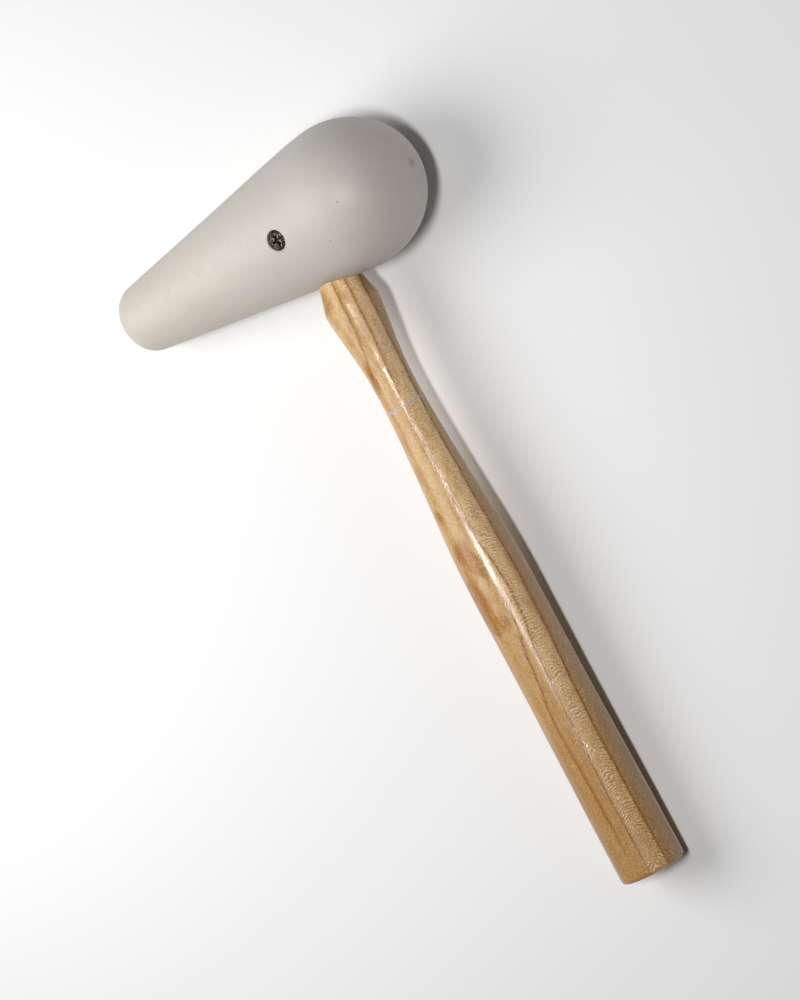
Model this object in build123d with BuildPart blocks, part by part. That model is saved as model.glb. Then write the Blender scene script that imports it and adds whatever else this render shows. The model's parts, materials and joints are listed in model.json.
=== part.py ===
from build123d import *
from math import asin, atan2, cos, degrees, hypot, radians, sin, sqrt, tan
import os

# Teardrop bossing mallet: a solid turned plastic head on a turned ash handle.
# The handle's tenon sits in a blind bore (the eye) in the head, and one wood screw
# through the head's side holds it. A thin clear band goes round the handle's waist.
#
# Each piece is modelled in the tool's own directions, in millimetres:
#   X  along the head, from the small end to the big end
#   Y  along the handle, from the butt up to the head
#   Z  out of the head's side where the screw goes in
# with the origin where the axes of head and handle cross. At the end all pieces are
# laid down together on a bench, where the mallet rests on three points.

# ---- Head ----
HEAD_BIG_RADIUS = 35.0        # 70 mm big end
HEAD_BIG_X = 25.3             # widest section, from the handle's axis
NOSE_LENGTH = 38.0            # widest section to the big end's tip
NOSE_JOIN_ANGLE = 94.3        # where the nose ellipse hands over to the flank
SMALL_TIP_X = -113.2          # tip of the small end
SMALL_CROWN = 1.0             # rise of the small end's striking face
SMALL_RIM_RADIUS = 15.9       # small end, before its rim is rounded
SMALL_RIM_ROUND = 11.0        # rounding of that rim
CONE_ANGLE = 8.17             # straight, conical stretch of the flank
CONE_END_X = -45.0
FLARE_START = 0.41            # share of the flare's length led by the cone
FLARE_END = 0.195             # share of the flare's length led by the nose
FLARE_STEPS = 400             # points tried along it when the mallet is laid down

# ---- Eye and tenon ----
TENON_RADIUS = 10.0
TENON_TIP_Y = 17.0            # tenon's end, beyond the head's axis
TENON_CHAMFER = 1.0

# ---- Handle: distance below the head's axis, and radius there ----
NECK_Y = -32.0                # the neck's small end, seated in the mouth of the eye
NECK_RADIUS = 10.25
SHOULDER_Y = -43.9
SHOULDER_RADIUS = 13.7
TAPER = [(-60.0, 11.9), (-74.0, 10.25)]
WAIST = (-90.0, 9.72)
SWELL = [(-112.0, 10.5), (-145.0, 12.7), (-176.0, 14.75), (-200.0, 15.1)]
GRIP = [(-240.0, 15.15), (-290.0, 15.7)]
BUTT_Y = -338.5
BUTT_RADIUS = 16.0
BUTT_ROUND = 2.0

# ---- Retaining screw: No. 10 x 32 mm cross-recess pan head ----
SCREW_Y = -4.2                # a little towards the butt from the head's axis
SCREW_SEAT_Z = 28.0           # underside of its head
SCREW_HEAD_RADIUS = 4.65
SCREW_HEAD_HEIGHT = 3.1
SCREW_HEAD_ROUND = 1.3
SCREW_SHANK_RADIUS = 2.35
SCREW_SHANK_LENGTH = 16.5
SCREW_ROOT_RADIUS = 1.65
SCREW_THREAD_DEPTH = 0.7
SCREW_PITCH = 1.95
SCREW_LENGTH = 32.0           # under the head
SCREW_POINT = 3.5             # the plain cone at its tip
RECESS_LENGTH = 5.0           # across the cross
RECESS_WIDTH = 1.25
RECESS_DEPTH = 1.9
RECESS_TAPER = 12.0
RECESS_TURN = 10.0            # how far the cross was left turned
COUNTERBORE_RADIUS = 4.95
CLEARANCE_HOLE_RADIUS = 2.6
PILOT_RADIUS = 1.7
PILOT_END_Z = -5.0

# ---- Clear band at the waist ----
BAND_Y = -96.1
BAND_WIDTH = 1.3
BAND_THICKNESS = 0.35
BAND_TILT = 5.1               # it was put on a little askew
BAND_TURN = 10.0

# ---- Working stock, larger than what it cuts ----
BEYOND = 60.0


def outline_point(station):
    """A point of the handle's outline, from its place along Y and its radius."""
    along, radius = station
    return (radius, along)


# ---- Head ----
crown_radius = (SMALL_RIM_RADIUS**2 + SMALL_CROWN**2) / (2 * SMALL_CROWN)
rim = Vector(SMALL_TIP_X + SMALL_CROWN, SMALL_RIM_RADIUS)
cone_length = CONE_END_X - rim.X
cone_end = rim + Vector(cone_length, cone_length * tan(radians(CONE_ANGLE)))
neck_slope = (SHOULDER_RADIUS - NECK_RADIUS) / (NECK_Y - SHOULDER_Y)

with BuildPart() as head:
    with BuildSketch(Plane.XY) as head_outline:
        with BuildLine():
            nose = EllipticalCenterArc(
                (HEAD_BIG_X, 0), NOSE_LENGTH, HEAD_BIG_RADIUS, start_angle=0, arc_size=NOSE_JOIN_ANGLE
            )
            flare_length = abs((nose @ 1) - cone_end)
            cone_way = Vector(cos(radians(CONE_ANGLE)), sin(radians(CONE_ANGLE)))
            flare = Bezier(
                nose @ 1,
                (nose @ 1) + (nose % 1) * flare_length * FLARE_END,
                cone_end + cone_way * flare_length * FLARE_START,
                cone_end,
            )
            Line(cone_end, rim)
            RadiusArc((SMALL_TIP_X, 0), rim, crown_radius)
            Line((SMALL_TIP_X, 0), nose @ 0)
        make_face()
        fillet(head_outline.vertices().sort_by(Axis.X)[1], SMALL_RIM_ROUND)
    revolve(axis=Axis.X)
    # The eye: a blind bore for the tenon, with a conical seat at its mouth.
    with BuildSketch(Plane.XY):
        with BuildLine():
            Polyline(
                (0, TENON_TIP_Y),
                (TENON_RADIUS, TENON_TIP_Y),
                (TENON_RADIUS, NECK_Y),
                (NECK_RADIUS, NECK_Y),
                (NECK_RADIUS + BEYOND * neck_slope, NECK_Y - BEYOND),
                (0, NECK_Y - BEYOND),
                close=True,
            )
        make_face()
    revolve(axis=Axis.Y, mode=Mode.SUBTRACT)
    # The screw's hole through the side, counterbored so that its head sits below the skin.
    with BuildSketch(Plane.XY):
        with Locations((0, SCREW_Y)):
            Circle(CLEARANCE_HOLE_RADIUS)
    extrude(amount=BEYOND, mode=Mode.SUBTRACT)
    with BuildSketch(Plane.XY.offset(SCREW_SEAT_Z)):
        with Locations((0, SCREW_Y)):
            Circle(COUNTERBORE_RADIUS)
    extrude(amount=BEYOND, mode=Mode.SUBTRACT)

# ---- Handle ----
with BuildPart() as handle:
    with BuildSketch(Plane.XY):
        with BuildLine():
            grip_stations = [
                (SHOULDER_Y, SHOULDER_RADIUS),
                *TAPER,
                WAIST,
                *SWELL,
                *GRIP,
                (BUTT_Y, BUTT_RADIUS),
            ]
            grip = Spline(*[outline_point(station) for station in grip_stations])
            Polyline(
                grip @ 1,
                (0, BUTT_Y),
                (0, TENON_TIP_Y),
                (TENON_RADIUS - TENON_CHAMFER, TENON_TIP_Y),
                (TENON_RADIUS, TENON_TIP_Y - TENON_CHAMFER),
                (TENON_RADIUS, NECK_Y),
                (NECK_RADIUS, NECK_Y),
                grip @ 0,
            )
        make_face()
    revolve(axis=Axis.Y)
    butt_rim = handle.edges().filter_by(GeomType.CIRCLE).sort_by(Axis.Y)[0]
    fillet(butt_rim, BUTT_ROUND)
    with BuildSketch(Plane.XY.offset(PILOT_END_Z)):
        with Locations((0, SCREW_Y)):
            Circle(PILOT_RADIUS)
    extrude(amount=BEYOND, mode=Mode.SUBTRACT)

# ---- Retaining screw ----
screw_tip_z = SCREW_SEAT_Z - SCREW_LENGTH
thread_start_z = screw_tip_z + SCREW_POINT
thread_end_z = SCREW_SEAT_Z - SCREW_SHANK_LENGTH
screw_plane = Plane(origin=(0, SCREW_Y, 0), x_dir=(1, 0, 0), z_dir=(0, -1, 0))
thread_pitches = int((thread_end_z - thread_start_z) / SCREW_PITCH)

with BuildPart() as retaining_screw:
    with BuildSketch(screw_plane):
        with BuildLine():
            Polyline(
                (0, screw_tip_z),
                (SCREW_ROOT_RADIUS, thread_start_z),
                (SCREW_ROOT_RADIUS, thread_end_z),
                (SCREW_SHANK_RADIUS, thread_end_z + SCREW_THREAD_DEPTH),
                (SCREW_SHANK_RADIUS, SCREW_SEAT_Z),
                (SCREW_HEAD_RADIUS, SCREW_SEAT_Z),
                (SCREW_HEAD_RADIUS, SCREW_SEAT_Z + SCREW_HEAD_HEIGHT),
                (0, SCREW_SEAT_Z + SCREW_HEAD_HEIGHT),
                close=True,
            )
        make_face()
    revolve(axis=Axis((0, SCREW_Y, 0), (0, 0, 1)))
    pan_rim = retaining_screw.edges().filter_by(GeomType.CIRCLE).sort_by(Axis.Z)[-1]
    fillet(pan_rim, SCREW_HEAD_ROUND)
    with BuildSketch(Plane.XY.offset(SCREW_SEAT_Z + SCREW_HEAD_HEIGHT)):
        with Locations(Location((0, SCREW_Y, 0), RECESS_TURN)):
            Rectangle(RECESS_LENGTH, RECESS_WIDTH)
            Rectangle(RECESS_WIDTH, RECESS_LENGTH)
    extrude(amount=-RECESS_DEPTH, taper=RECESS_TAPER, mode=Mode.SUBTRACT)
    # One ridge for each turn of the thread, between the point and the shank.
    with BuildSketch(screw_plane):
        for turn in range(thread_pitches):
            ridge_z = thread_start_z + (turn + 0.5) * SCREW_PITCH
            with BuildLine():
                Polyline(
                    (0, ridge_z - SCREW_THREAD_DEPTH),
                    (SCREW_ROOT_RADIUS, ridge_z - SCREW_THREAD_DEPTH),
                    (SCREW_ROOT_RADIUS + SCREW_THREAD_DEPTH, ridge_z),
                    (SCREW_ROOT_RADIUS, ridge_z + SCREW_THREAD_DEPTH),
                    (0, ridge_z + SCREW_THREAD_DEPTH),
                    close=True,
                )
            make_face()
    revolve(axis=Axis((0, SCREW_Y, 0), (0, 0, 1)))

# ---- Clear band ----
band_plane = Plane.XZ.offset(-BAND_Y).rotated((BAND_TILT, BAND_TURN, 0))

with BuildPart() as clear_band:
    with BuildSketch(band_plane):
        Circle(SHOULDER_RADIUS)
    extrude(amount=BAND_WIDTH / 2, both=True)
    with BuildSketch(Plane.XZ.offset(-BAND_Y)):
        Circle(WAIST[1] + BAND_THICKNESS)
    extrude(amount=SHOULDER_RADIUS, both=True, mode=Mode.INTERSECT)
    add(handle.part, mode=Mode.SUBTRACT)

# ---- Laid on the bench ----
# The bench touches the head's flare, the small end's rounded rim and the butt's rim.
# The lean is the head's angle to the bench: of the lines that touch the rim's round and
# pass through a point of the flare, the steepest clears them all.
rim_round = head_outline.edges().filter_by(GeomType.CIRCLE).sort_by(SortBy.RADIUS)[0]
round_centre = rim_round.arc_center
round_to_flare = [flare @ (step / FLARE_STEPS) - round_centre for step in range(FLARE_STEPS)]
lean = max(atan2(way.Y, way.X) - asin(SMALL_RIM_ROUND / way.length) for way in round_to_flare)
bench_drop = SMALL_RIM_ROUND + round_centre.Y * cos(lean) - round_centre.X * sin(lean)

# The droop is the handle's angle to the bench, down to where the butt's rim touches it.
rim_along = -BUTT_Y - BUTT_ROUND
rim_across = BUTT_RADIUS - BUTT_ROUND
rim_way = hypot(rim_along, rim_across)
droop = asin((bench_drop - BUTT_ROUND) / rim_way) - atan2(rim_across, rim_along)

bench_up = Vector(sin(lean), sin(droop), sqrt(1 - sin(lean) ** 2 - sin(droop) ** 2))
handle_way = Vector(0, 1, 0)
bench_y = (handle_way - bench_up * handle_way.dot(bench_up)).normalized()
bench = Plane(origin=bench_up * -bench_drop, x_dir=bench_y.cross(bench_up), z_dir=bench_up)
pieces = [head, handle, retaining_screw, clear_band]
for piece in pieces:
    piece.part = piece.part.moved(bench.location.inverse())

# The origin goes to the bench, under the middle of the whole mallet's box.
box = Compound(children=[piece.part.moved(Location()) for piece in pieces]).bounding_box()
to_middle = Location((-box.center().X, -box.center().Y, 0))

print("lean", round(degrees(lean), 3), "degrees, droop", round(degrees(droop), 3), "degrees")

os.makedirs("parts", exist_ok=True)
for piece, name in zip(pieces, ["head", "handle", "retaining_screw", "clear_band"]):
    piece.part = piece.part.moved(to_middle)
    piece.part.label = name
    export_step(piece.part, f"parts/{name}.step")
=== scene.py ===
"""Looks of the teardrop bossing mallet: plastic head, lacquered ash handle, steel screw and clear band."""

import json
import math

import bpy
import numpy as np
from mathutils import Matrix, Vector

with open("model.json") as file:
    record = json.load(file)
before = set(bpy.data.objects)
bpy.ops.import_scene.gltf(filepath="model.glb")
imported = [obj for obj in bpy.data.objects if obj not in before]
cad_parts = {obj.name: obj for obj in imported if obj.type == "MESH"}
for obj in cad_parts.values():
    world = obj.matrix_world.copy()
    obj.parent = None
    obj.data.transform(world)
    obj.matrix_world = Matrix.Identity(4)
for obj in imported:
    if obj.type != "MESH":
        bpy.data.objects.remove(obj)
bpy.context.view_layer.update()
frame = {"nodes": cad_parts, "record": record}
MM = 0.001

# ---------------------------------------------------------------- the tool's own directions
# X along the head to its big end, Y up the handle to the head, Z out of the side with the screw;
# origin where the two axes cross. The record's butt face gives the handle's axis, and the head
# lies on its flank, so its axis leans to the bench by LEAN.
HANDLE_REACH = 338.5 * MM            # from the head's axis to the butt face
LEAN = math.radians(8.288)

mounts = {mount["name"]: mount for mount in frame["record"]["mounts"]}
handle_way = -Vector(mounts["butt_face"]["axis"]).normalized()
head_centre = Vector(mounts["butt_face"]["pos_m"]) + handle_way * HANDLE_REACH
droop = math.asin(handle_way.z)
head_rise = math.sin(LEAN)
head_back = -head_rise * math.tan(droop)
head_way = Vector((math.sqrt(1 - head_rise**2 - head_back**2), head_back, head_rise))
side_way = head_way.cross(handle_way)
TOOL = Matrix.Translation(head_centre) @ Matrix((head_way, handle_way, side_way)).transposed().to_4x4()

# ---------------------------------------------------------------- camera
CAMERA_TURN = math.radians(32.4)     # from the screw's side towards the big end
CAMERA_DIP = math.radians(-0.4)      # negative is towards the butt
CAMERA_ROLL = math.radians(28.13)
CAMERA_DISTANCE = 1.5                # m
CAMERA_AIM = Vector((-27.2, -133.7, 0.0)) * MM
CAMERA_LENS = 116.3                  # mm, on the sensor below
CAMERA_SENSOR = 36                   # mm


def camera_axes():
    """Right, up and towards-the-camera, in the tool's directions."""
    turn, dip = CAMERA_TURN, CAMERA_DIP
    to_camera = Vector((math.sin(turn) * math.cos(dip), math.sin(dip), math.cos(turn) * math.cos(dip)))
    level = Vector((math.cos(turn), 0, -math.sin(turn)))
    rise = to_camera.cross(level)
    right = level * math.cos(CAMERA_ROLL) - rise * math.sin(CAMERA_ROLL)
    up = level * math.sin(CAMERA_ROLL) + rise * math.cos(CAMERA_ROLL)
    return right, up, to_camera


RIGHT, UP, TO_CAMERA = (TOOL.to_3x3() @ axis for axis in camera_axes())
AIM = TOOL @ CAMERA_AIM


def place(direction_right, direction_up, direction_front, distance):
    """The point at that distance from the aim, its direction given in the camera's own directions."""
    way = RIGHT * direction_right + UP * direction_up + TO_CAMERA * direction_front
    return AIM + way.normalized() * distance


def make_camera():
    data = bpy.data.cameras.new("camera")
    data.lens = CAMERA_LENS
    data.sensor_width = CAMERA_SENSOR
    data.clip_start = 0.05
    data.clip_end = 20
    camera = bpy.data.objects.new("camera", data)
    bpy.context.scene.collection.objects.link(camera)
    turned = Matrix((RIGHT, UP, TO_CAMERA)).transposed().to_4x4()
    camera.matrix_world = Matrix.Translation(AIM + TO_CAMERA * CAMERA_DISTANCE) @ turned
    bpy.context.scene.camera = camera


# ---------------------------------------------------------------- lights, world, floor
# Ways to the lights are right, up and towards the camera, seen from the aim; sizes and
# distances are in metres and powers in watts.
KEY_WAY = (-0.90, -0.12, 0.45)
KEY_DISTANCE = 0.62
KEY_SIZE = 0.60
KEY_POWER = 3.1
FRONT_WAY = (-0.207, -0.069, 1.0)
FRONT_DISTANCE = 1.5
FRONT_WIDTH = 0.12                   # a strip light, lengthwise along the handle
FRONT_LENGTH = 0.32
FRONT_POWER = 10.8
WORLD_STRENGTH = 0.045
FLOOR_HALF = 3.0
FLOOR_COLOUR = (0.9, 0.9, 0.9, 1)


def area_light(name, position, size, power):
    """A round light that shines at the aim."""
    data = bpy.data.lights.new(name, "AREA")
    data.shape = "DISK"
    data.size = size
    data.energy = power
    light = bpy.data.objects.new(name, data)
    bpy.context.scene.collection.objects.link(light)
    light.location = position
    light.rotation_euler = (AIM - position).to_track_quat("-Z", "Y").to_euler()
    return light


def make_lights():
    """A wide light close by on the left, and a strip in front for the handle's long highlight."""
    area_light("key", place(*KEY_WAY, KEY_DISTANCE), KEY_SIZE, KEY_POWER)
    strip = area_light("front", place(*FRONT_WAY, FRONT_DISTANCE), FRONT_WIDTH, FRONT_POWER)
    strip.data.shape = "ELLIPSE"
    strip.data.size_y = FRONT_LENGTH
    to_light = (strip.location - AIM).normalized()
    sideways = handle_way.cross(to_light).normalized()
    lengthwise = to_light.cross(sideways)
    strip.rotation_euler = Matrix((sideways, lengthwise, to_light)).transposed().to_euler()


def make_world():
    """A little even light from everywhere, and colours shown as they are."""
    world = bpy.data.worlds.new("studio")
    world.use_nodes = True
    background = world.node_tree.nodes["Background"]
    background.inputs["Color"].default_value = (1, 1, 1, 1)
    background.inputs["Strength"].default_value = WORLD_STRENGTH
    bpy.context.scene.world = world
    bpy.context.scene.view_settings.view_transform = "Standard"


def make_floor():
    mesh = bpy.data.meshes.new("floor")
    half = FLOOR_HALF
    corners = [(-half, -half, 0), (half, -half, 0), (half, half, 0), (-half, half, 0)]
    mesh.from_pydata(corners, [], [(0, 1, 2, 3)])
    floor = bpy.data.objects.new("floor", mesh)
    bpy.context.scene.collection.objects.link(floor)
    material = bpy.data.materials.new("floor_paper")
    material.use_nodes = True
    shader = material.node_tree.nodes["Principled BSDF"]
    shader.inputs["Base Color"].default_value = FLOOR_COLOUR
    shader.inputs["Roughness"].default_value = 0.9
    shader.inputs["Specular IOR Level"].default_value = 0.1
    mesh.materials.append(material)


make_camera()
make_lights()
make_world()
make_floor()


# ---------------------------------------------------------------- shader building
class Shader:
    """A material's node tree, with one short call for each kind of node."""

    def __init__(self, name):
        self.material = bpy.data.materials.new(name)
        self.material.use_nodes = True
        self.tree = self.material.node_tree
        self.bsdf = self.tree.nodes["Principled BSDF"]

    def node(self, kind, **inputs):
        made = self.tree.nodes.new(kind)
        for key, value in inputs.items():
            self.feed(made.inputs[key.replace("_", " ")], value)
        return made

    def feed(self, socket, value):
        """Links the socket to another node's output, or gives it a constant."""
        if isinstance(value, bpy.types.NodeSocket):
            self.tree.links.new(value, socket)
        else:
            socket.default_value = value

    def set(self, **inputs):
        for key, value in inputs.items():
            self.feed(self.bsdf.inputs[key.replace("_", " ")], value)

    def math(self, operation, first, second=0.0, third=0.0):
        made = self.tree.nodes.new("ShaderNodeMath")
        made.operation = operation
        for socket, value in zip(made.inputs, (first, second, third)):
            self.feed(socket, value)
        return made.outputs[0]

    def total(self, values):
        result = values[0]
        for value in values[1:]:
            result = self.math("ADD", result, value)
        return result

    def ramp(self, value, low, high, out_low=0.0, out_high=1.0):
        """A smooth step from out_low where value is low to out_high where it is high."""
        made = self.node("ShaderNodeMapRange", Value=value)
        made.interpolation_type = "SMOOTHSTEP"
        made.inputs["From Min"].default_value = low
        made.inputs["From Max"].default_value = high
        made.inputs["To Min"].default_value = out_low
        made.inputs["To Max"].default_value = out_high
        return made.outputs[0]

    def tool_mm(self, turn=0.0):
        """Place on the tool in millimetres, in the tool's directions, turned about the handle."""
        about_handle = Matrix.Rotation(turn, 4, "Y")
        to_tool = about_handle @ TOOL.inverted()
        where = self.node("ShaderNodeTexCoord")
        mapping = self.node("ShaderNodeMapping", Vector=where.outputs["Object"])
        mapping.inputs["Location"].default_value = to_tool.translation / MM
        mapping.inputs["Rotation"].default_value = to_tool.to_euler()
        mapping.inputs["Scale"].default_value = (1 / MM, 1 / MM, 1 / MM)
        return mapping.outputs[0]

    def split(self, vector):
        made = self.node("ShaderNodeSeparateXYZ", Vector=vector)
        return made.outputs[0], made.outputs[1], made.outputs[2]

    def join(self, x, y, z):
        made = self.tree.nodes.new("ShaderNodeCombineXYZ")
        for socket, value in zip(made.inputs, (x, y, z)):
            self.feed(socket, value)
        return made.outputs[0]

    def stretched(self, vector, scale):
        made = self.node("ShaderNodeVectorMath")
        made.operation = "MULTIPLY"
        self.feed(made.inputs[0], vector)
        made.inputs[1].default_value = scale
        return made.outputs[0]

    def noise(self, vector, scale, detail=2.0, roughness=0.5, seed=0.0):
        """Noise from 0 to 1. Scale is cells per millimetre each way, and a seed is one pattern."""
        made = self.tree.nodes.new("ShaderNodeTexNoise")
        made.noise_dimensions = "4D"
        self.feed(made.inputs["Vector"], self.stretched(vector, scale))
        made.inputs["W"].default_value = seed
        made.inputs["Scale"].default_value = 1.0
        made.inputs["Detail"].default_value = detail
        made.inputs["Roughness"].default_value = roughness
        return made.outputs[0]

    def mix(self, share, first, second):
        """The first colour at share 0, the second at share 1."""
        made = self.tree.nodes.new("ShaderNodeMix")
        made.data_type = "RGBA"
        share_in, first_in, second_in = (made.inputs[slot] for slot in (0, 6, 7))
        self.feed(share_in, share)
        self.feed(first_in, first)
        self.feed(second_in, second)
        return made.outputs[2]

    def layered(self, colour, layers):
        """The colour with each layer, a share and a colour, mixed over it in turn."""
        for share, over in layers:
            colour = self.mix(share, colour, over)
        return colour

    def bump(self, height, strength, distance, under=None):
        """A normal from height, which stands distance metres high, over another normal if given."""
        made = self.node("ShaderNodeBump", Height=height, Strength=strength, Distance=distance)
        if under is not None:
            self.feed(made.inputs["Normal"], under)
        return made.outputs[0]

    def near(self, vector, centre, reach, solid=0.25):
        """1 about centre, falling smoothly from solid of the way out to 0 at reach, an ellipsoid."""
        shifted = self.tree.nodes.new("ShaderNodeVectorMath")
        shifted.operation = "SUBTRACT"
        self.feed(shifted.inputs[0], vector)
        shifted.inputs[1].default_value = centre
        length = self.tree.nodes.new("ShaderNodeVectorMath")
        length.operation = "LENGTH"
        self.feed(length.inputs[0], self.stretched(shifted.outputs[0], [1 / half for half in reach]))
        return self.ramp(length.outputs["Value"], solid, 1.0, 1.0, 0.0)


# ---------------------------------------------------------------- ash
# In the board's directions: across the board, up the handle, and out of the side that the
# camera sees. Measures are in millimetres; "down" is the distance below the head's axis.
GRAIN_TURN = -CAMERA_TURN            # turns the tool's directions to the board's
BUTT = HANDLE_REACH / MM             # down to the butt face
HANDLE_HALF = 15.0                   # about half the handle's width
HAND_START = 175.0                   # down to where the wood starts to darken from hands
HAND_END = 330.0                     # down to where it is darkest

LINE_SPAN = 340.0                    # how far down the growth lines' curves run
LINE_REACH = 20.0                    # how far across they may go, each way
LINE_APPEARS = 6.0                   # above and below a line's start, over which it appears
LINE_GOES = (14.0, 8.0)              # above and below its end, over which it goes
LINE_CORE = (0.15, 0.75)             # from its middle, where the dark core is full and where it ends
LINE_SIDES = (1.1, 2.0)              # how wide it is orange, to its left and its right
LINE_SWAY = 1.5                      # how far a line wanders
BACK_SHIFT = 3.0                     # how far the lines stand to one side on the board's back
# Each dark growth line: how strong it is, from where to where down it shows, and its run, as
# pairs of down and offset across the board.
GROWTH_LINES = [
    (0.70, (0, 92), [(0, -2.6), (33, -3.7), (60, -5.0), (78, -8.0), (95, -11.0)]),
    (0.75, (0, 340), [
        (0, 3.0), (33, 2.3), (60, 1.5), (82, 0.2), (105, -1.2), (140, -1.6), (165, -0.4),
        (190, 1.9), (207, 1.4), (222, -0.8), (245, -1.7), (265, -2.4), (340, -2.6),
    ]),
    (1.00, (0, 340), [
        (0, 10.0), (33, 9.3), (60, 8.3), (105, 7.3), (150, 8.0), (186, 9.2), (215, 8.8),
        (235, 7.7), (255, 6.9), (300, 6.7), (340, 6.8),
    ]),
    (0.80, (200, 322), [
        (200, -2.4), (209, -3.0), (223, -5.5), (239, -7.0), (254, -8.8), (275, -8.8),
        (300, -8.3), (340, -8.6),
    ]),
    (0.45, (120, 340), [(120, 14.6), (200, 15.0), (260, 14.2), (340, 14.0)]),
    (0.45, (90, 340), [(90, -16.0), (200, -14.4), (260, -14.9), (340, -14.6)]),
]

# Each orange-brown, knotty patch: down, offset across, half length, half width and strength.
PATCHES = [
    (37, -12.0, 9, 4.0, 0.60),
    (79, -8.0, 9, 2.6, 0.75),
    (113, -9.0, 8, 2.0, 0.35),
    (128, -10.2, 6, 1.8, 0.35),
    (150, -11.3, 4, 1.8, 0.95),
    (172, -8.4, 12, 4.6, 0.95),
    (179, -5.0, 10, 2.6, 0.90),
    (194, -12.4, 15, 4.8, 0.95),
    (206, -8.2, 6, 5.6, 0.80),
    (288, -7.8, 22, 1.6, 0.60),
]
PATCH_RAGGED = (5.0, 9.0)            # how far its edge is torn, across and along
PATCH_DEPTH = 0.6                    # its middle's share of the way from the axis to the surface
PATCH_THICKNESS = 14.0               # half, out of the board
PATCH_SOFT = (1.25, 1.2)             # times the half width and half length, for its soft edge
PATCH_SOLID = 0.45                   # share of the way out to which it is solid

CURL_PERIOD = 1.55                   # along the handle, from one ripple to the next
CURL_MIDDLE = 2.0                    # offset across of the top of its arcs
CURL_BOW = 0.085                     # how the arcs bend, in mm for each mm2 away from there
CURL_WANDER = 6.5                    # how far the arcs drift along, slowly
CURL_SHAKE = 1.9                     # and quickly
FLECKS = 4.4                         # how strong the flecks that break it up are

# Linear colours of the wood; a pair is the two shades that it drifts between.
CLEAN_WOOD = ((0.71, 0.465, 0.215, 1), (0.63, 0.380, 0.150, 1))
WORN_WOOD = ((0.45, 0.240, 0.078, 1), (0.40, 0.205, 0.060, 1))
# the face's colours: partly its own lighter figure, partly painted sheen from the lacquer's broad
# highlight
CLEAN_FACE_AND_SHEEN = (0.96, 0.670, 0.370, 1)
WORN_FACE_AND_SHEEN = (0.62, 0.380, 0.160, 1)
# painted shade: the handle's side that turns away from the key light, painted darker
PAINTED_SHADE_SIDE = (0.27, 0.150, 0.042, 1)
PATCH_BROWN = (0.38, 0.140, 0.012, 1)
DARK_GRAIN = (0.36, 0.185, 0.058, 1)
DARK_MOTTLE = (0.43, 0.205, 0.055, 1)
DARK_SPECK = (0.29, 0.150, 0.055, 1)
LIGHT_SPECK = (0.72, 0.490, 0.240, 1)
LIGHT_CURL = (0.98, 0.760, 0.490, 1)
DARK_CURL = (0.27, 0.140, 0.045, 1)
LINE_ORANGE = (0.38, 0.145, 0.022, 1)
LINE_BROWN = (0.19, 0.070, 0.014, 1)


def growth_line(s, down, across, strength, shown, run):
    """A thin dark core with a soft orange side, as two values from 0 to 1; down is in LINE_SPANs."""
    curve = s.tree.nodes.new("ShaderNodeFloatCurve")
    points = curve.mapping.curves[0].points
    pairs = [(distance / LINE_SPAN, (offset + LINE_REACH) / (2 * LINE_REACH)) for distance, offset in run]
    points[0].location = pairs[0]
    points[1].location = pairs[-1]
    for pair in pairs[1:-1]:
        points.new(*pair)
    curve.mapping.update()
    s.feed(curve.inputs["Value"], down)
    middle = s.math("MULTIPLY_ADD", curve.outputs[0], 2 * LINE_REACH, -LINE_REACH)
    off = s.math("SUBTRACT", across, middle)

    start, end = shown
    appear_from = (start - LINE_APPEARS) / LINE_SPAN
    appear_to = (start + LINE_APPEARS) / LINE_SPAN
    go_from = (end - LINE_GOES[0]) / LINE_SPAN
    go_to = (end + LINE_GOES[1]) / LINE_SPAN
    appears = s.ramp(down, appear_from, appear_to, 0.0, strength)
    seen = s.math("MULTIPLY", appears, s.ramp(down, go_from, go_to, 1.0, 0.0))

    core = s.ramp(s.math("ABSOLUTE", off), *LINE_CORE, 1.0, 0.0)
    left = s.ramp(off, -LINE_SIDES[0], 0.0)
    right = s.ramp(off, 0.0, LINE_SIDES[1], 1.0, 0.0)
    halo = s.math("MULTIPLY", left, right)
    return s.math("MULTIPLY", core, seen), s.math("MULTIPLY", halo, seen)


def growth_lines(s, place_mm, across, down_mm):
    """The cores and the orange sides of all the lines, broken up into pores."""
    down = s.math("DIVIDE", down_mm, LINE_SPAN)
    cores, halos = zip(*(growth_line(s, down, across, *line) for line in GROWTH_LINES))
    core = s.math("MINIMUM", s.total(cores), 1.0)
    halo = s.math("MINIMUM", s.total(halos), 1.0)
    pores = s.noise(place_mm, (1.8, 0.55, 1.8), 3.0, 0.7, seed=2.0)
    core = s.math("MULTIPLY", core, s.ramp(pores, 0.42, 0.56, 0.15, 1.0))
    halo = s.math("MULTIPLY", halo, s.ramp(pores, 0.25, 0.70, 0.35, 1.0))
    return core, halo


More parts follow.
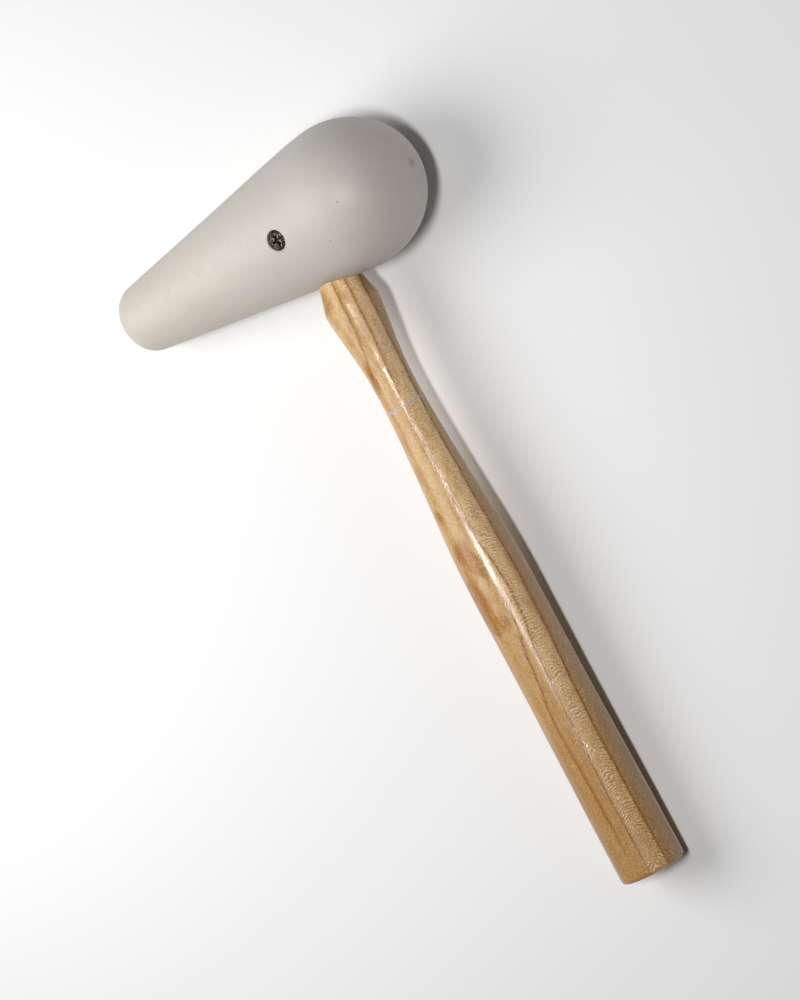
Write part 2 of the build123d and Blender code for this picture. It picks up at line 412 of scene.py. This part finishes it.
def wood_patches(s, place_mm, out):
    """The knotty patches, with torn edges, on the half of the handle that the camera sees."""
    ragged = s.noise(place_mm, (0.35, 0.14, 0.35), 3.0, 0.6, seed=3.0)
    shifted = s.node("ShaderNodeVectorMath")
    shifted.operation = "MULTIPLY_ADD"
    s.feed(shifted.inputs[0], s.join(ragged, ragged, 0.0))
    shifted.inputs[1].default_value = (*PATCH_RAGGED, 0.0)
    s.feed(shifted.inputs[2], place_mm)
    mean_across, mean_along = (torn / 2 for torn in PATCH_RAGGED)
    patches = []
    for distance, offset, half_length, half_width, strength in PATCHES:
        depth = math.sqrt(max(0.0, HANDLE_HALF**2 - offset**2)) * PATCH_DEPTH
        centre = (offset + mean_across, mean_along - distance, depth)
        reach = (half_width * PATCH_SOFT[0], half_length * PATCH_SOFT[1], PATCH_THICKNESS)
        spot = s.near(shifted.outputs[0], centre, reach, PATCH_SOLID)
        patches.append(s.math("MULTIPLY", spot, strength))
    patch = s.math("MULTIPLY", s.math("MINIMUM", s.total(patches), 1.0), s.ramp(out, -2.0, 3.0))
    return s.ramp(s.math("MULTIPLY", patch, s.ramp(ragged, 0.25, 0.70, 0.45, 1.0)), 0.06, 0.72)


def curl(s, place_mm, across, along):
    """The curl of the wood: arcs across the quarter-sawn face, breaking up into flecks."""
    aside = s.math("ABSOLUTE", s.math("SUBTRACT", across, CURL_MIDDLE))
    bowed = s.math("MULTIPLY", s.math("POWER", aside, 2.0), CURL_BOW)
    wander = s.noise(place_mm, (0.16, 0.16, 0.16), 2.0, 0.6, seed=4.0)
    shake = s.noise(place_mm, (0.75, 0.55, 0.75), 2.0, 0.6, seed=41.0)
    wander = s.math("MULTIPLY", wander, CURL_WANDER)
    shake = s.math("MULTIPLY", shake, CURL_SHAKE)
    phase = s.total([along, bowed, wander, shake])
    arcs = s.math("SINE", s.math("MULTIPLY", phase, 2 * math.pi / CURL_PERIOD))
    clumps = s.ramp(s.noise(place_mm, (0.20, 0.07, 0.20), 2.0, 0.6, seed=5.0), 0.36, 0.66, 0.15, 1.0)
    clumps = s.math("MULTIPLY", clumps, s.ramp(along, -125.0, -60.0, 1.0, 0.30))
    flecks = s.noise(place_mm, (1.9, 1.3, 1.9), 2.0, 0.75, seed=42.0)
    flecks = s.math("MULTIPLY_ADD", flecks, FLECKS, -FLECKS / 2)
    return s.math("MULTIPLY_ADD", s.math("MULTIPLY", arcs, clumps), 0.60, s.math("MULTIPLY", flecks, 0.78))


def make_ash():
    s = Shader("ash_wood_look")
    place_mm = s.tool_mm(GRAIN_TURN)
    across, along, out = s.split(place_mm)
    down_mm = s.math("MULTIPLY", along, -1.0)

    # Growth lines, which wander a little, and the patches.
    sway = s.noise(place_mm, (0.16, 0.05, 0.16), 2.0, seed=1.0)
    sway = s.math("MULTIPLY_ADD", sway, LINE_SWAY, -LINE_SWAY / 2)
    back_shift = s.math("MULTIPLY", s.ramp(out, -6.0, 4.0, 1.0, 0.0), BACK_SHIFT)
    across = s.total([across, sway, back_shift])
    core, halo = growth_lines(s, place_mm, across, down_mm)
    patch = wood_patches(s, place_mm, out)

    # The face between the middle lines shows the curl most, and the end grain at the butt least.
    face = s.math("MULTIPLY", s.ramp(across, -5.0, 0.5), s.ramp(across, 5.5, 9.5, 1.0, 0.0))
    side_grain = s.ramp(down_mm, BUTT - 2.0, BUTT - 0.3, 1.0, 0.15)
    shows_curl = s.math("MULTIPLY", s.math("MULTIPLY_ADD", face, 0.55, 0.45), side_grain)
    ripple = s.math("MULTIPLY", curl(s, place_mm, across, along), shows_curl)

    # Fine lengthwise grain, fine specks and slow drifts of colour.
    grain = s.noise(place_mm, (2.6, 0.05, 2.6), 3.0, 0.6, seed=6.0)
    specks = s.noise(place_mm, (1.7, 1.05, 1.7), 2.0, 0.75, seed=61.0)
    drift = s.ramp(s.noise(place_mm, (0.10, 0.014, 0.10), 2.0, seed=7.0), 0.35, 0.65)
    mottle = s.noise(place_mm, (0.30, 0.12, 0.30), 3.0, 0.6, seed=8.0)
    handled = s.ramp(down_mm, HAND_START, HAND_END)
    # Right of the third growth line the wood is painted darker: painted shade on the side away from the
    # key light.
    painted_shade_side = s.ramp(across, 6.5, 10.5)

    bare = s.mix(handled, s.mix(drift, *CLEAN_WOOD), s.mix(drift, *WORN_WOOD))
    colour = s.layered(bare, [
        # The face is lighter partly for its own figure and partly as painted sheen where the lacquer's
        # broad highlight falls.
        (s.math("MULTIPLY", face, 0.80), s.mix(handled, CLEAN_FACE_AND_SHEEN, WORN_FACE_AND_SHEEN)),
        (s.math("MULTIPLY", painted_shade_side, 0.75), PAINTED_SHADE_SIDE),
        (s.math("MULTIPLY", patch, 0.95), PATCH_BROWN),
        (s.ramp(grain, 0.38, 0.72, 0.0, 0.42), DARK_GRAIN),
        (s.ramp(mottle, 0.42, 0.70, 0.0, 0.55), DARK_MOTTLE),
        (s.ramp(specks, 0.48, 0.66, 0.0, 0.42), DARK_SPECK),
        (s.ramp(specks, 0.34, 0.50, 0.50, 0.0), LIGHT_SPECK),
        (s.ramp(ripple, 0.05, 0.70, 0.0, 0.80), LIGHT_CURL),
        (s.ramp(ripple, -0.85, -0.10, 0.72, 0.0), DARK_CURL),
        (s.math("MULTIPLY", halo, 0.85), LINE_ORANGE),
        (s.math("MULTIPLY", core, 0.80), LINE_BROWN),
    ])

    # The wood's own relief, and the lacquer's, which fills most of it.
    relief = s.total([
        s.math("MULTIPLY", ripple, 0.35),
        s.math("MULTIPLY", grain, 0.35),
        s.math("MULTIPLY", core, -0.6),
    ])
    lacquer = s.noise(place_mm, (0.45, 0.26, 0.45), 3.0, 0.65, seed=9.0)
    lacquer_relief = s.math("MULTIPLY_ADD", ripple, 0.20, lacquer)
    s.set(
        Base_Color=colour,
        Roughness=s.ramp(grain, 0.3, 0.7, 0.36, 0.48),
        Normal=s.bump(relief, 1.0, 0.00006),
        Specular_IOR_Level=0.20,
        Coat_Weight=0.60,
        Coat_Roughness=0.07,
        Coat_IOR=1.5,
        Coat_Normal=s.bump(lacquer_relief, 1.0, 0.00011),
    )
    return s.material


# ---------------------------------------------------------------- plastic
# Places are in the tool's directions, in millimetres.
SCREW_PLACE = (0.0, -4.2, 29.0)
GRIME_AND_SHADE_REACH = 6.6                    # from the screw's middle
GRIME_AND_SHADE_SOLID = 0.72                   # share of that reach to which the grime and painted shade are solid
# Small marks on the head: place, reach and strength.
HEAD_MARKS = [
    ((38.3, -3.9, 32.6), 0.7, 0.70),
    ((24.3, -16.9, 30.6), 0.7, 0.60),
    ((63.2, -2.9, 0.2), 3.6, 0.75),
    ((-50.8, 2.4, 24.6), 2.6, 0.12),
]
# Linear colours; a pair is the two shades that the plastic drifts between.
SMALL_END = ((0.615, 0.575, 0.510, 1), (0.590, 0.540, 0.470, 1))
BIG_END = ((0.575, 0.545, 0.515, 1), (0.590, 0.530, 0.485, 1))
DULL_PLASTIC = (0.47, 0.41, 0.35, 1)
DUST = (0.36, 0.29, 0.23, 1)
MARK = (0.22, 0.13, 0.08, 1)
# grime and painted shade round the screw's counterbore
GRIME_AND_SHADE = (0.25, 0.17, 0.14, 1)


def head_marks(s, place_mm):
    """The small marks, from 0 to 1, broken up at their edges."""
    spots = []
    for where, reach, strength in HEAD_MARKS:
        spot = s.near(place_mm, where, (reach, reach, reach))
        spots.append(s.math("MULTIPLY", spot, strength))
    broken = s.ramp(s.noise(place_mm, (0.9, 0.9, 0.9), 3.0, 0.7, seed=16.0), 0.42, 0.60, 0.25, 1.0)
    return s.math("MULTIPLY", s.math("MINIMUM", s.total(spots), 1.0), broken)


def make_plastic():
    s = Shader("head_plastic_look")
    place_mm = s.tool_mm()
    along = s.split(place_mm)[0]
    cloud = s.ramp(s.noise(place_mm, (0.018, 0.018, 0.018), 2.0, seed=11.0), 0.3, 0.7)
    mottle = s.noise(place_mm, (0.22, 0.22, 0.22), 3.0, 0.6, seed=12.0)
    turning = s.noise(place_mm, (2.4, 0.02, 0.02), 2.0, 0.6, seed=13.0)
    scuffs = s.noise(place_mm, (0.5, 1.6, 1.6), 4.0, 0.7, seed=14.0)
    dust = s.noise(place_mm, (1.3, 1.3, 1.3), 1.0, seed=15.0)
    # Round the screw's counterbore the plastic is darker: partly grime, partly painted shade where the
    # recess darkens.
    grime_and_shade = s.near(place_mm, SCREW_PLACE, (GRIME_AND_SHADE_REACH, GRIME_AND_SHADE_REACH, GRIME_AND_SHADE_REACH), GRIME_AND_SHADE_SOLID)

    clean = s.mix(s.ramp(along, -70.0, 40.0), s.mix(cloud, *SMALL_END), s.mix(cloud, *BIG_END))
    colour = s.layered(clean, [
        (s.math("MULTIPLY", s.ramp(mottle, 0.4, 0.75), 0.16), DULL_PLASTIC),
        (s.math("MULTIPLY", s.ramp(dust, 0.76, 0.84), 0.35), DUST),
        (head_marks(s, place_mm), MARK),
        (s.math("MULTIPLY", grime_and_shade, 0.55), GRIME_AND_SHADE),
    ])

    # Fine rings from the lathe, with scuffs and shallow dents over them.
    turned = s.bump(turning, 0.6, 0.00003)
    dented = s.math("ADD", scuffs, s.math("MULTIPLY", mottle, 1.5))
    s.set(
        Base_Color=colour,
        Roughness=s.ramp(scuffs, 0.3, 0.7, 0.40, 0.52),
        Normal=s.bump(dented, 0.8, 0.00005, under=turned),
        Specular_IOR_Level=0.45,
        Subsurface_Weight=0.35,
        Subsurface_Radius=(1.0, 0.75, 0.55),
        Subsurface_Scale=0.006,
        IOR=1.5,
    )
    return s.material


# ---------------------------------------------------------------- steel
# Linear colours; the pair is the two shades of the dark, tarnished steel.
TARNISH = ((0.014, 0.006, 0.004, 1), (0.060, 0.030, 0.020, 1))
# bright steel: partly bare metal, partly painted glints
BARE_STEEL = (0.95, 0.85, 0.80, 1)


def make_steel():
    s = Shader("screw_steel_look")
    place_mm = s.tool_mm()
    blotch = s.noise(place_mm, (0.75, 0.75, 0.75), 4.0, 0.65, seed=21.0)
    pits = s.noise(place_mm, (2.4, 2.4, 2.4), 3.0, 0.6, seed=22.0)

    # Bright metal shows on worn edges and in small specks: partly bare steel, partly painted glints.
    geometry = s.tree.nodes.new("ShaderNodeNewGeometry")
    edges = s.ramp(geometry.outputs["Pointiness"], 0.52, 0.60)
    bare = s.math("MULTIPLY", edges, s.ramp(blotch, 0.46, 0.60))
    bare = s.math("MAXIMUM", bare, s.ramp(pits, 0.58, 0.64))
    tarnish = s.mix(s.ramp(blotch, 0.35, 0.65), *TARNISH)
    s.set(
        Base_Color=s.mix(bare, tarnish, BARE_STEEL),
        Metallic=0.85,
        Roughness=s.ramp(pits, 0.3, 0.7, 0.50, 0.26),
        Normal=s.bump(s.math("MULTIPLY_ADD", blotch, 1.5, pits), 1.0, 0.00035),
    )
    return s.material


# ---------------------------------------------------------------- film
BAND_HALF_WIDTH = 0.65               # mm
BAND_HIGHLIGHT_START = 0.30                    # share of the half width where the painted highlight along each edge starts
BAND_HIGHLIGHT_FULL = 0.80                   # and where it is full
FILM_MIDDLE = (0.74, 0.64, 0.66, 1)
# painted highlight along the band's edges
FILM_EDGE_HIGHLIGHT = (0.78, 0.70, 0.76, 1)


def band_way():
    """The band's middle, in metres, and the way through it, which the hand that put it on left askew."""
    points = np.array([tuple(vertex.co) for vertex in frame["nodes"]["clear_band"].data.vertices])
    middle = points.mean(axis=0)
    ways = np.linalg.eigh(np.cov((points - middle).T))[1]
    narrowest = ways[:, 0]
    return Vector(middle), Vector(narrowest)


def make_film():
    s = Shader("band_film_look")
    place_mm = s.tool_mm()
    middle, way = band_way()
    through = s.tree.nodes.new("ShaderNodeVectorMath")
    through.operation = "DOT_PRODUCT"
    s.feed(through.inputs[0], s.node("ShaderNodeTexCoord").outputs["Object"])
    through.inputs[1].default_value = way
    off_mm = s.math("MULTIPLY", s.math("SUBTRACT", through.outputs["Value"], middle.dot(way)), 1 / MM)
    highlight_from = BAND_HALF_WIDTH * BAND_HIGHLIGHT_START
    highlight_to = BAND_HALF_WIDTH * BAND_HIGHLIGHT_FULL
    # The band's edges are painted lighter and more opaque: painted highlights where the edges catch the
    # light.
    edge_highlight = s.ramp(s.math("ABSOLUTE", off_mm), highlight_from, highlight_to)
    streak = s.noise(place_mm, (0.9, 3.0, 0.9), 2.0, 0.6, seed=31.0)
    s.set(
        Base_Color=s.mix(edge_highlight, FILM_MIDDLE, FILM_EDGE_HIGHLIGHT),
        Roughness=s.ramp(streak, 0.3, 0.7, 0.15, 0.28),
        Alpha=s.math("MULTIPLY_ADD", edge_highlight, 0.55, s.ramp(streak, 0.3, 0.7, 0.12, 0.30)),
        Normal=s.bump(s.math("ADD", streak, edge_highlight), 0.6, 0.00006),
    )
    return s.material


LOOKS = {
    "head": make_plastic(),
    "handle": make_ash(),
    "retaining_screw": make_steel(),
    "clear_band": make_film(),
}
for name, look in LOOKS.items():
    frame["nodes"][name].material_slots[0].material = look
